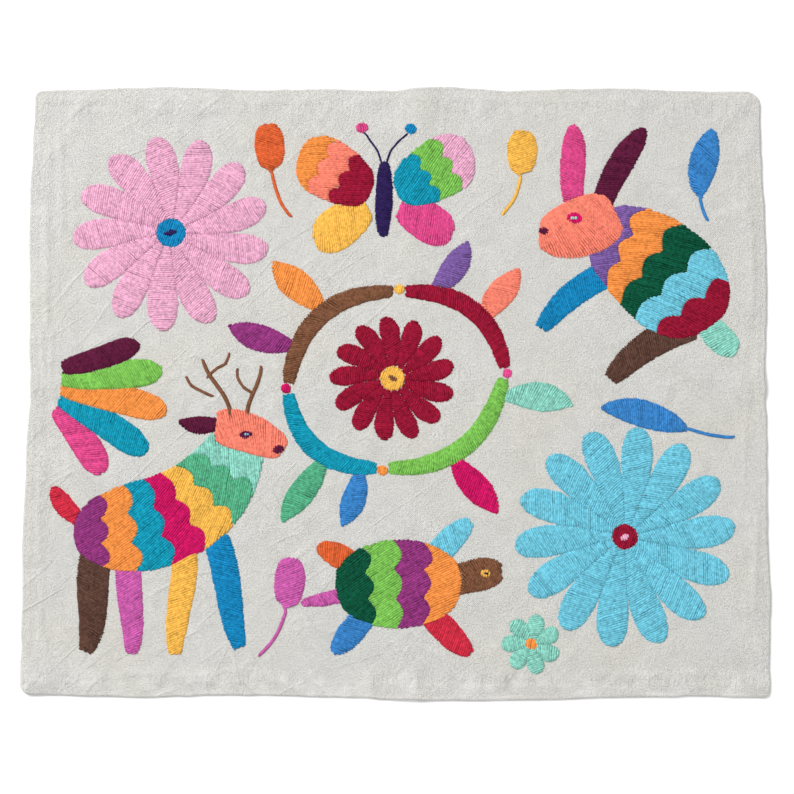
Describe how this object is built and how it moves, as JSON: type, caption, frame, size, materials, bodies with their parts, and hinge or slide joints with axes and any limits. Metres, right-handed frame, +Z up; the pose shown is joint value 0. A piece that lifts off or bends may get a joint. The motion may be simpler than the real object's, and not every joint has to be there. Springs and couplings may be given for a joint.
{
  "type": "flat hemmed placemat cloth with padded satin stitch embroidery",
  "caption": "Flat hemmed cotton placemat with raised animals, flowers and leaves in thick coloured satin stitch, lying face up with soft creases and a wrinkled margin.",
  "frame": {"origin": "middle of the cloth's box at the surface that it lies on", "axes": "+X towards the picture's right along the long sides, +Y towards the picture's top, +Z up through the embroidered face"},
  "size_m": [0.4642, 0.3852, 0.0035],
  "materials": {
    "cotton": "plain woven cotton, matt and slightly wrinkled",
    "yarn_blue": "stranded cotton embroidery yarn in close satin stitch, soft sheen",
    "yarn_brown": "stranded cotton embroidery yarn in close satin stitch, soft sheen",
    "yarn_cornflower": "stranded cotton embroidery yarn in close satin stitch, soft sheen",
    "yarn_crimson": "stranded cotton embroidery yarn in close satin stitch, soft sheen",
    "yarn_dark_brown": "stranded cotton embroidery yarn in close satin stitch, soft sheen",
    "yarn_forest": "stranded cotton embroidery yarn in close satin stitch, soft sheen",
    "yarn_hot_pink": "stranded cotton embroidery yarn in close satin stitch, soft sheen",
    "yarn_jade": "stranded cotton embroidery yarn in close satin stitch, soft sheen",
    "yarn_lavender": "stranded cotton embroidery yarn in close satin stitch, soft sheen",
    "yarn_lime": "stranded cotton embroidery yarn in close satin stitch, soft sheen",
    "yarn_mint": "stranded cotton embroidery yarn in close satin stitch, soft sheen",
    "yarn_navy": "stranded cotton embroidery yarn in close satin stitch, soft sheen",
    "yarn_orange": "stranded cotton embroidery yarn in close satin stitch, soft sheen",
    "yarn_orchid": "stranded cotton embroidery yarn in close satin stitch, soft sheen",
    "yarn_pink": "stranded cotton embroidery yarn in close satin stitch, soft sheen",
    "yarn_plum": "stranded cotton embroidery yarn in close satin stitch, soft sheen",
    "yarn_purple": "stranded cotton embroidery yarn in close satin stitch, soft sheen",
    "yarn_raspberry": "stranded cotton embroidery yarn in close satin stitch, soft sheen",
    "yarn_red": "stranded cotton embroidery yarn in close satin stitch, soft sheen",
    "yarn_rust": "stranded cotton embroidery yarn in close satin stitch, soft sheen",
    "yarn_salmon": "stranded cotton embroidery yarn in close satin stitch, soft sheen",
    "yarn_sky": "stranded cotton embroidery yarn in close satin stitch, soft sheen",
    "yarn_teal": "stranded cotton embroidery yarn in close satin stitch, soft sheen",
    "yarn_yellow": "stranded cotton embroidery yarn in close satin stitch, soft sheen"
  },
  "bodies": {
    "root": {"bud_bl": "yarn_orchid", "bud_tl": "yarn_rust", "bud_tr": "yarn_yellow", "butterfly_body": "yarn_navy", "cloth": "cotton", "deer_antler_a": "yarn_brown", "deer_antler_b": "yarn_brown", "deer_body": "yarn_teal", "deer_ear": "yarn_plum", "deer_head": "yarn_salmon", "deer_leg_a": "yarn_dark_brown", "deer_leg_b": "yarn_orchid", "deer_leg_c": "yarn_yellow", "deer_leg_d": "yarn_blue", "deer_tail": "yarn_red", "eye_crimson": "yarn_yellow", "eye_pink": "yarn_blue", "eye_sky": "yarn_crimson", "fan_lime": "yarn_lime", "fan_orange": "yarn_orange", "fan_pink": "yarn_hot_pink", "fan_plum": "yarn_plum", "fan_teal": "yarn_teal", "flipper_a": "yarn_sky", "flipper_b": "yarn_red", "flipper_c": "yarn_rust", "flipper_d": "yarn_cornflower", "flower_crimson": "yarn_crimson", "flower_mint": "yarn_mint", "flower_pink": "yarn_pink", "flower_sky": "yarn_sky", "leaf_e": "yarn_mint", "leaf_east": "yarn_cornflower", "leaf_high": "yarn_cornflower", "leaf_n": "yarn_lavender", "leaf_ne": "yarn_salmon", "leaf_nw": "yarn_orange", "leaf_s": "yarn_cornflower", "leaf_se": "yarn_raspberry", "leaf_sw": "yarn_jade", "leaf_w": "yarn_purple", "rabbit_body": "yarn_forest", "rabbit_ear_a": "yarn_plum", "rabbit_ear_b": "yarn_hot_pink", "rabbit_foot": "yarn_dark_brown", "rabbit_foreleg": "yarn_blue", "rabbit_head": "yarn_salmon", "rabbit_tail": "yarn_mint", "turtle_head": "yarn_brown", "turtle_shell": "yarn_lime", "turtle_tail": "yarn_orchid", "wing_low_l": "yarn_yellow", "wing_low_r": "yarn_hot_pink", "wing_up_l": "yarn_crimson", "wing_up_r": "yarn_teal", "wreath_brown": "yarn_brown", "wreath_crimson": "yarn_crimson", "wreath_lime": "yarn_lime", "wreath_teal": "yarn_teal"}
  },
  "joints": []
}
